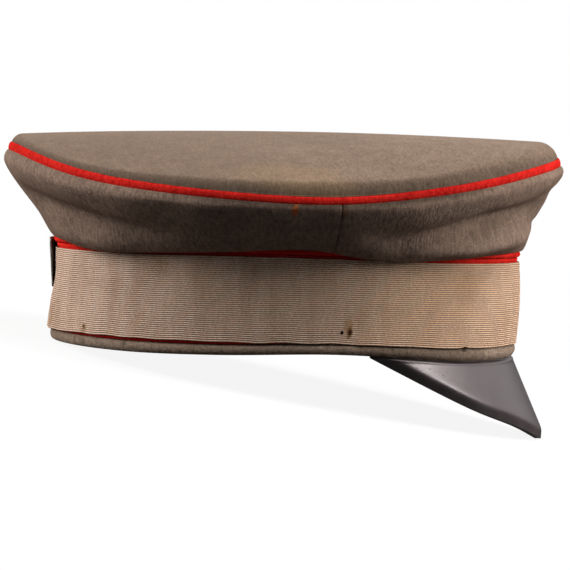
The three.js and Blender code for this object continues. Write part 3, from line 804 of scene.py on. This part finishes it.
def crown_side(node, first, last, finish_of):
    """A panel of the crown's side, from a tuck under the cord over the belly, waist and folds to its foot.

    At the foot it turns under and rises to the seam above the red roll. Each of its two ends dips into the
    ditch of a seam, with a low swell beside it. The folds and a ripple that fades by the cord and the foot
    push the section in along its normals.
    """
    share = panel_turns(first[0], last[0])
    middle = (first[0] + first[1]) / 2 * (1 - share) + (last[0] + last[1]) / 2 * share
    _, _, slope, _, _, cord = edge(middle)
    fall, into = edge_ways(slope)
    get = {key: at(CROWN_SECTIONS, key, middle) for key in CROWN_SECTIONS if key != "turn"}
    lip = cord + fall * get["cord"][:, None]
    foot = np.stack([get["foot_out"], at(CROWN_FOOT, "up", middle)], -1)
    roll = np.stack(roll_centre(middle), -1)
    section = through(
        [
            *(lip + into * deep + fall * down for down, deep in SIDE_TUCK),
            np.stack([cord[:, 0] + get["belly"], cord[:, 1] - get["belly_drop"]], -1),
            np.stack([get["waist_out"], get["waist_up"]], -1),
            foot,
            foot + FOOT_UNDER,
            roll + [0, ROLL_RADIUS] + FOOT_END,
        ],
        SIDE_STEPS,
    )
    way = np.linalg.norm(np.diff(section, axis=0), axis=-1)
    length = np.concatenate([np.zeros((1, len(middle))), np.cumsum(way, 0)])
    edge_row, foot_row = SIDE_STEPS[0], sum(SIDE_STEPS[:4])
    down = (length - length[edge_row]) / (length[foot_row] - length[edge_row])
    bend = np.clip(down, 0, 1) ** 2
    turn_first, turn_last = (at_cord + (at_foot - at_cord) * bend for at_cord, at_foot in (first, last))
    turn = turn_first + (turn_last - turn_first) * share
    open_face = np.clip(down * 8, 0, 1) * np.clip((1.02 - down) * 12, 0, 1)
    depth = fold_depth(turn, down) + SIDE_RIPPLE * ripple(turn, down, 5, 30, 8) * open_face
    seam_way = np.minimum(turn - turn_first, turn_last - turn) * AROUND_CROWN
    ditch = SEAM_DITCH * bell(seam_way, SEAM_WIDE)
    swell = SEAM_SWELL * bell(seam_way - SEAM_SWELL_AWAY, SEAM_SWELL_WIDE)
    face = section + inward(section) * (depth + ditch - swell)[..., None]
    within = (face + inward(face) * CLOTH)[SIDE_INSIDE]
    rows = np.concatenate([face, within])
    turns = np.concatenate([turn, turn[SIDE_INSIDE]])
    points = place(turns, rows[..., 0], rows[..., 1])
    along = np.concatenate([length, length[SIDE_INSIDE], length[:1]])
    across = middle * AROUND_CROWN
    piece = grid_piece(node + "_cloth", points, across, along, wrap_rows=True, caps="columns")
    dress(piece, node, finish_of)


def tube(name, centre, half_deep, half_wide, lean, seed):
    """A cord round the cap: an ellipse that leans out and down, whose size wavers a little."""
    angle = np.linspace(0, 2 * np.pi, CORD_SIDES, endpoint=False)[:, None]
    size = 1 + CORD_WAVER * ripple(ROUND, 0, seed, 90, 0, 24)
    deep, wide = half_deep * size * np.cos(angle), half_wide * size * np.sin(angle)
    out = centre[0] + deep * np.cos(lean) - wide * np.sin(lean)
    up = centre[1] + deep * np.sin(lean) + wide * np.cos(lean)
    across = ROUND_CLOSED * AROUND_CROWN
    around = np.linspace(0, CORD_GIRTH, CORD_SIDES + 1)[:, None]
    return grid_piece(name, place(ROUND, out, up), across, around, wrap_rows=True, wrap_columns=True)


def crown_cord(finish_of):
    """The red cord in the seam between the top and the sides."""
    _, _, slope, _, _, cord = edge(ROUND)
    cord = cord + edge_ways(slope)[0] * CORD_TUCK / 2
    wide = at(CROWN_SECTIONS, "cord", ROUND) + CORD_TUCK
    piece = tube("crown_edge_cord", (cord[:, 0], cord[:, 1]), CORD_PROUD, wide, np.pi / 2 - slope, 3)
    dress(piece, "crown_piping", finish_of)


def band_roll(finish_of):
    """The red roll between the crown's side and the red band."""
    piece = tube("band_red_roll", roll_centre(ROUND), ROLL_RADIUS, ROLL_RADIUS, 0, 4)
    dress(piece, "band_piping", finish_of)


def band_grid(name, depth_and_up, apart):
    """A closed wall round the band, from rows given as depths in from the ribbon's face and heights.

    On the UV map the rows lie evenly, so many millimetres apart.
    """
    rows = [place(ROUND, band_lean(ROUND, up) - depth, up) for depth, up in depth_and_up]
    along = np.arange(len(rows) + 1)[:, None] * apart
    across = ROUND_CLOSED * AROUND_BAND
    return grid_piece(name, np.stack(rows), across, along, wrap_rows=True, wrap_columns=True)


def red_band(finish_of):
    """The red band: flat behind the ribbon, and swelling to its edge above it, with a rounded top."""
    foot = hem_heights(ROUND)[1] + RED_CLEAR
    head = at(BAND_SECTIONS, "ribbon_head", ROUND)
    share = np.linspace(0, 1, 6)
    rows = [(RED_DEPTH, foot + (head - foot) * part) for part in share]
    rows += [(depth, head + (RED_HEAD - head) * part) for part, depth in RED_SWELL]
    back_head = RED_HEAD - RED_BACK_DROP
    rows += [(RED_DEPTH + RED_CLOTH, foot + (back_head - foot) * part) for part in share[::-1]]
    piece = band_grid("band_red_cloth", rows, RED_ROW)
    dress(piece, "red_band", finish_of)


def ribbon(finish_of):
    """The cover ribbon: rounded ribs with narrow grooves, which run round the band side by side.

    Near its two edges, by a bell across its width, it strays in and out and up and down as ripples, and a
    narrow bell lifts its lower edge at the notch.
    """
    turn = np.linspace(-180, 180, 540, endpoint=False)
    foot, head = at(BAND_SECTIONS, "ribbon_foot", turn), at(BAND_SECTIONS, "ribbon_head", turn)
    phase, height = np.array(RIB_SHAPE).T
    share = np.append(((np.arange(RIB_COUNT)[:, None] + phase) / RIB_COUNT).ravel(), 1)
    swell = np.append(np.tile(height, RIB_COUNT), 0) * RIB_HEIGHT
    up = foot + (head - foot) * share[:, None]
    flare = RIBBON_FLARE * ripple(turn, 0, 11, 24, 0) * (bell(share, 0.12) + bell(share - 1, 0.06))[:, None]
    up = up + NOTCH_HEIGHT * bell(turn - NOTCH_TURN, NOTCH_WIDE) * bell(share, 0.03)[:, None]
    up = up + RIBBON_STRAY * ripple(turn, 0, 12, 40, 0, 20) * (0.4 + bell(share, 0.2))[:, None]
    out = band_lean(turn, up) + swell[:, None] - RIB_HEIGHT + flare
    inner_share = np.linspace(1, 0, 5)
    inner_up = foot + (head - foot) * inner_share[:, None]
    inner = band_lean(turn, inner_up) - RIBBON
    points = place(turn, np.concatenate([out, inner]), np.concatenate([up, inner_up]))
    ribs = np.append(np.concatenate([share, inner_share]), 0)[:, None] * RIB_COUNT
    across = np.append(turn, 180) * AROUND_BAND
    piece = grid_piece("ribbed_cover_ribbon", points, across, ribs, wrap_rows=True, wrap_columns=True)
    dress(piece, "cover_ribbon", finish_of)


def band_body(finish_of):
    """The band's grey wall, with its lower edge rolled outwards under the red band.

    The roll is half of an ellipse outside, with small lumps round the cap, and a quarter of one inside.
    """
    hem, top = hem_heights(ROUND)
    middle, high = (hem + top) / 2, (top - hem) / 2
    wide = BODY_DEPTH - at(BAND_SECTIONS, "hem_in", ROUND)
    outer = np.radians(np.linspace(90, 270, 28))
    inner = np.radians(np.linspace(280, 360, 8))
    level = np.full_like(ROUND, BODY_HEAD)
    lumps = HEM_LUMPS * ripple(ROUND, 0, 21, 70, 0, 24)
    rows = [(np.full_like(ROUND, BODY_DEPTH), up) for up in (level, level - BODY_STEP)]
    rows += [(BODY_DEPTH + (wide + lumps) * np.cos(a), middle + high * np.sin(a)) for a in outer]
    rows += [(BODY_DEPTH + BODY * np.cos(a), middle + high * np.sin(a)) for a in inner]
    rows += [(np.full_like(ROUND, BODY_DEPTH + BODY), up) for up in (level - BODY_STEP, level)]
    piece = band_grid("band_wall_and_hem", rows, HEM_ROW)
    dress(piece, "band_body", finish_of)


def visor(finish_of):
    """The visor: straight rulings that lean out, with a band along the rim that turns under, and a back.

    A ruling goes down from under the hem to the rim's sloping plane. The band's bend is a soft ramp, the
    logarithm of 1 plus an exponential, of the way down into it. The UV map runs up from the rim.
    """
    turn = np.linspace(-VISOR_END, VISOR_END, 261)
    hem, _ = hem_heights(turn)
    top = hem + VISOR_HIDDEN
    out = at(BAND_SECTIONS, "foot_out", turn) - VISOR_IN
    start = place(turn, out, top)
    to_end = np.abs(turn / VISOR_END) ** VISOR_LEAN_POWER
    lean = np.tan(np.radians(VISOR_LEAN_FRONT + (VISOR_LEAN_END - VISOR_LEAN_FRONT) * to_end))
    fall = top - RIM_START_UP + RIM_SLOPE * (start[:, 0] - RIM_START_X)
    fall = fall - RIM_LIFT * bell(np.abs(turn) - RIM_LIFT_TURN, RIM_LIFT_WIDE)
    _, outward, _ = oval(turn)
    depth = np.maximum(fall / (1 - RIM_SLOPE * lean * outward[:, 0]), VISOR_HIDDEN / 2)
    share = np.append(np.linspace(0, RIM_ROWS_FROM, 44, endpoint=False), np.linspace(RIM_ROWS_FROM, 1, 44))
    down = depth * share[:, None]
    into_band = (RIM_BAND - (depth - down)) / RIM_ROUND
    turn_in = np.logaddexp(0, into_band) * RIM_ROUND * (RIM_BEND + RIM_BEND_SIDE * to_end)
    groove = VISOR_GROOVE * bell(down - VISOR_HIDDEN, VISOR_GROOVE_WIDE)
    crease = VISOR_CREASE * bell(down - VISOR_HIDDEN - VISOR_CREASE_DOWN, VISOR_CREASE_WIDE)
    face = np.stack([out + down * lean - turn_in + (crease - groove), top - down], -1)
    rim = np.stack([face[-1] - step for step in RIM_EDGE])
    wall = VISOR * np.sqrt(1 + lean**2)
    back = face[::-6] - np.stack([wall, 0 * wall], -1)
    section = np.concatenate([face, rim, back])
    points = place(turn, section[..., 0], section[..., 1])
    above_rim = np.concatenate([depth - down, np.full((len(rim) + len(back) + 1, len(turn)), RIM_BACK)])
    across = turn * AROUND_VISOR
    piece = grid_piece("visor_leather", points, across, above_rim, wrap_rows=True, caps="columns")
    dress(piece, "visor", finish_of)


def plate(name, width, high, start_deep, thick_foot, thick_head):
    """An upright plate behind the band, bent to it and leaning off it at its top.

    Its outline is a rounded rectangle, and its edge is rounded through its thickness: each row there is the
    outline drawn in by an inset, at a share of the thickness. The rows of its two faces are the outline
    scaled down to their middle.
    """
    angle = np.linspace(0, 2 * np.pi, PLATE_SIDES, endpoint=False)
    way = np.stack([np.cos(angle), np.sin(angle)], -1)
    corner = np.sign(np.round(way, 6)) * (np.array([width / 2, high / 2]) - CLASP_CORNER)
    edge_rows = [(corner + way * (CLASP_CORNER - inset), share) for inset, share in PLATE_EDGE]
    rows = [(edge_rows[0][0] * scale, 0) for scale in PLATE_RINGS] + edge_rows
    rows += [(edge_rows[-1][0] * scale, 1) for scale in PLATE_RINGS[::-1]]
    rows = [np.column_stack([flat, np.full(len(angle), share)]) for flat, share in rows]
    side, height, share = np.moveaxis(np.stack(rows), -1, 0)
    height = height + high / 2
    thick = thick_foot + (thick_head - thick_foot) * height / high
    lean = np.radians(CLASP_LEAN)
    foot_out = BAND_LENGTH / 2 + band_lean(180.0, CLASP_FOOT_UP) + CLASP_GAP + CLASP_THIN
    out = foot_out - start_deep - share * thick - side**2 / (2 * CLASP_BEND) + height * np.sin(lean)
    points = np.stack([-out, side, CLASP_FOOT_UP + height * np.cos(lean)], -1)
    across, level = np.linspace(0, PLATE_GIRTH, PLATE_SIDES + 1), np.arange(len(rows))[:, None]
    return grid_piece(name, points, across, level, wrap_columns=True, caps="poles")


def clasp(finish_of, backing_of):
    """The clasp's plate, and the darker prong behind it that holds it to the band."""
    face = plate("clasp_plate", CLASP_WIDTH, CLASP_HEIGHT, 0, CLASP_THIN, CLASP_THICK)
    dress(face, "band_clasp", finish_of)
    width, high = CLASP_WIDTH - PRONG_NARROWER, CLASP_HEIGHT - PRONG_LOWER
    prong = plate("clasp_prong", width, high, CLASP_THICK, PRONG_THIN, PRONG_THICK)
    prong.data.materials.append(backing_of)
    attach(prong, "root")


# ---------------------------------------------------------------- the camera, the floor and the light

CAMERA_DISTANCE = 1000
CAMERA_UP = 73
CAMERA_AIM = (-0.5, 0, 26.9)
CAMERA_ROLL = np.radians(1.98)  # more than the cap's own tilt
CAMERA_LENS = 141.2

AMBIENT = 0.066
LIGHTS_AIM = (0, 0, 0.06)
FLOOR_GLOW = 0.9
FLOOR_RADIUS = 1.5
FLOOR_FADE = (1.2, 0.3)  # where it is clear and where it is solid, from its middle
FLOOR_UP = -0.0002
BACKDROP = 4


def camera():
    """A long lens level with the crown's edge, square to the cap's side and rolled with the cap."""
    eye, aim = laid(np.array([[0, -CAMERA_DISTANCE, CAMERA_UP], CAMERA_AIM], float))
    forward = Vector(aim - eye).normalized()
    roll = TILT + CAMERA_ROLL
    right = Vector((np.cos(roll), 0, np.sin(roll)))
    up = right.cross(forward).normalized()
    right = forward.cross(up)
    made = bpy.data.objects.new("camera", bpy.data.cameras.new("camera"))
    made.data.lens = CAMERA_LENS
    made.data.clip_end = 20
    turn = Matrix((right, up, -forward)).transposed().to_4x4()
    made.matrix_world = Matrix.Translation(eye) @ turn
    bpy.context.scene.collection.objects.link(made)
    bpy.context.scene.camera = made


def light(name, place_at, size, power, lights_up=True, gleams=True):
    """A soft rectangular light that faces the cap. It may light surfaces and gleam in polished ones."""
    made = bpy.data.objects.new(name, bpy.data.lights.new(name, "AREA"))
    made.data.shape = "RECTANGLE"
    made.data.size, made.data.size_y = size
    made.data.energy = power
    made.visible_diffuse = lights_up
    made.visible_glossy = gleams
    made.location = place_at
    made.rotation_euler = (Vector(LIGHTS_AIM) - Vector(place_at)).to_track_quat("-Z", "Y").to_euler()
    bpy.context.scene.collection.objects.link(made)


def plain(name, corners, faces, glow):
    """A floor or backdrop that glows a little itself, and that the cap neither mirrors nor is lit by."""
    mesh = bpy.data.meshes.new(name)
    mesh.from_pydata(corners, [], faces)
    made = bpy.data.objects.new(name, mesh)
    bpy.context.scene.collection.objects.link(made)
    made.visible_diffuse = False
    made.visible_glossy = False
    paper, shader, here, _ = material(name + "_paper")
    mesh.materials.append(paper)
    finish(shader, {
        "Roughness": 1, "Specular IOR Level": 0, "Base Color": (1 - glow, 1 - glow, 1 - glow, 1),
        "Emission Color": (1, 1, 1, 1), "Emission Strength": glow,
    })
    return shader, here


def stage():
    """A pale floor that fades into a white surround, and soft light from both sides and above."""
    ring = np.radians(np.arange(0, 360, 5))
    level = np.full_like(ring, FLOOR_UP)
    round_floor = np.stack([np.cos(ring) * FLOOR_RADIUS, np.sin(ring) * FLOOR_RADIUS, level], -1)
    shader, here = plain("floor", round_floor, [list(range(len(ring)))], FLOOR_GLOW)
    finish(shader, {}, Alpha=here.length().clamped(*FLOOR_FADE))

    ends = (-BACKDROP, BACKDROP)
    corners = np.array([(x, y, z) for x in ends for y in ends for z in ends], float)
    sides = [(0, 1, 3, 2), (4, 6, 7, 5), (0, 4, 5, 1), (2, 3, 7, 6), (0, 2, 6, 4), (1, 5, 7, 3)]
    plain("backdrop", corners, sides, 1)

    world = bpy.data.worlds.new("surround")
    bpy.context.scene.world = world
    world.use_nodes = True
    finish(world.node_tree.nodes["Background"], {"Color": (1, 1, 1, 1), "Strength": AMBIENT})

    light("light_above", (0.6, 0, 1.6), (1.4, 0.8), 12.8)
    light("light_front", (0, -0.9, 1.3), (1.6, 0.8), 12.6)
    light("light_left", (-1.4, 0, 0.35), (0.8, 0.9), 24)
    light("light_right", (1.3, 0, 0.66), (0.8, 0.6), 20, gleams=False)
    light("gleam_right", (1.5, 0, 0.66), (2.6, 0.8), 8.5, lights_up=False)
    light("gleam_back", (0.6, 1.5, 0.75), (1.8, 0.8), 3.5, lights_up=False)
    light("gleam_front", (1.32, -0.72, 0.4), (0.35, 0.5), 16, lights_up=False)


camera()
stage()
top_cloth = felt(
    "grey_cloth_top", srgb(95, 79, 66), srgb(141, 119, 102), TOP_MARKS_AND_SHADE,
    relief=0.4, hairs_long=1.6, brushed=2.6, linty=0.2, edge_shade=0.4, fuzz=0.12,
)
side_cloth = felt(
    "grey_cloth_side", srgb(98, 81, 71), srgb(151, 127, 111), SIDE_MARKS,
    relief=1, hairs_long=5, tuck_shade=0.62,
)
hem_cloth = felt(
    "grey_cloth_hem", srgb(106, 91, 79), srgb(160, 138, 120), HEM_MARKS_AND_SHADE,
    relief=0.9, hairs_long=2, crease_shade=0.5,
)
red = felt("red_cloth", srgb(180, 20, 17), srgb(240, 56, 46), relief=0.5, linty=0.15)
red_cord = felt("red_cord", srgb(160, 17, 14), srgb(217, 48, 40), relief=0.5, linty=0.15)
crown_top(top_cloth)
crown_side("crown_side_rear_right", (-180, -180), RIGHT_SEAM, side_cloth)
crown_side("crown_side_front_right", RIGHT_SEAM, FRONT_SEAM, side_cloth)
crown_side("crown_side_front_left", FRONT_SEAM, LEFT_SEAM, side_cloth)
crown_side("crown_side_rear_left", LEFT_SEAM, BACK_SEAM, side_cloth)
crown_cord(red_cord)
band_roll(red)
red_band(red)
ribbon(ribbed())
band_body(hem_cloth)
visor(leather())
clasp(
    steel("dark_steel", srgb(128, 128, 123), srgb(160, 159, 152), 0.4),
    # The prong's steel is darker than the plate's.
    steel("darker_steel", srgb(90, 89, 83), srgb(120, 118, 110), 0.5),
)

bpy.context.scene.view_settings.view_transform = "Standard"
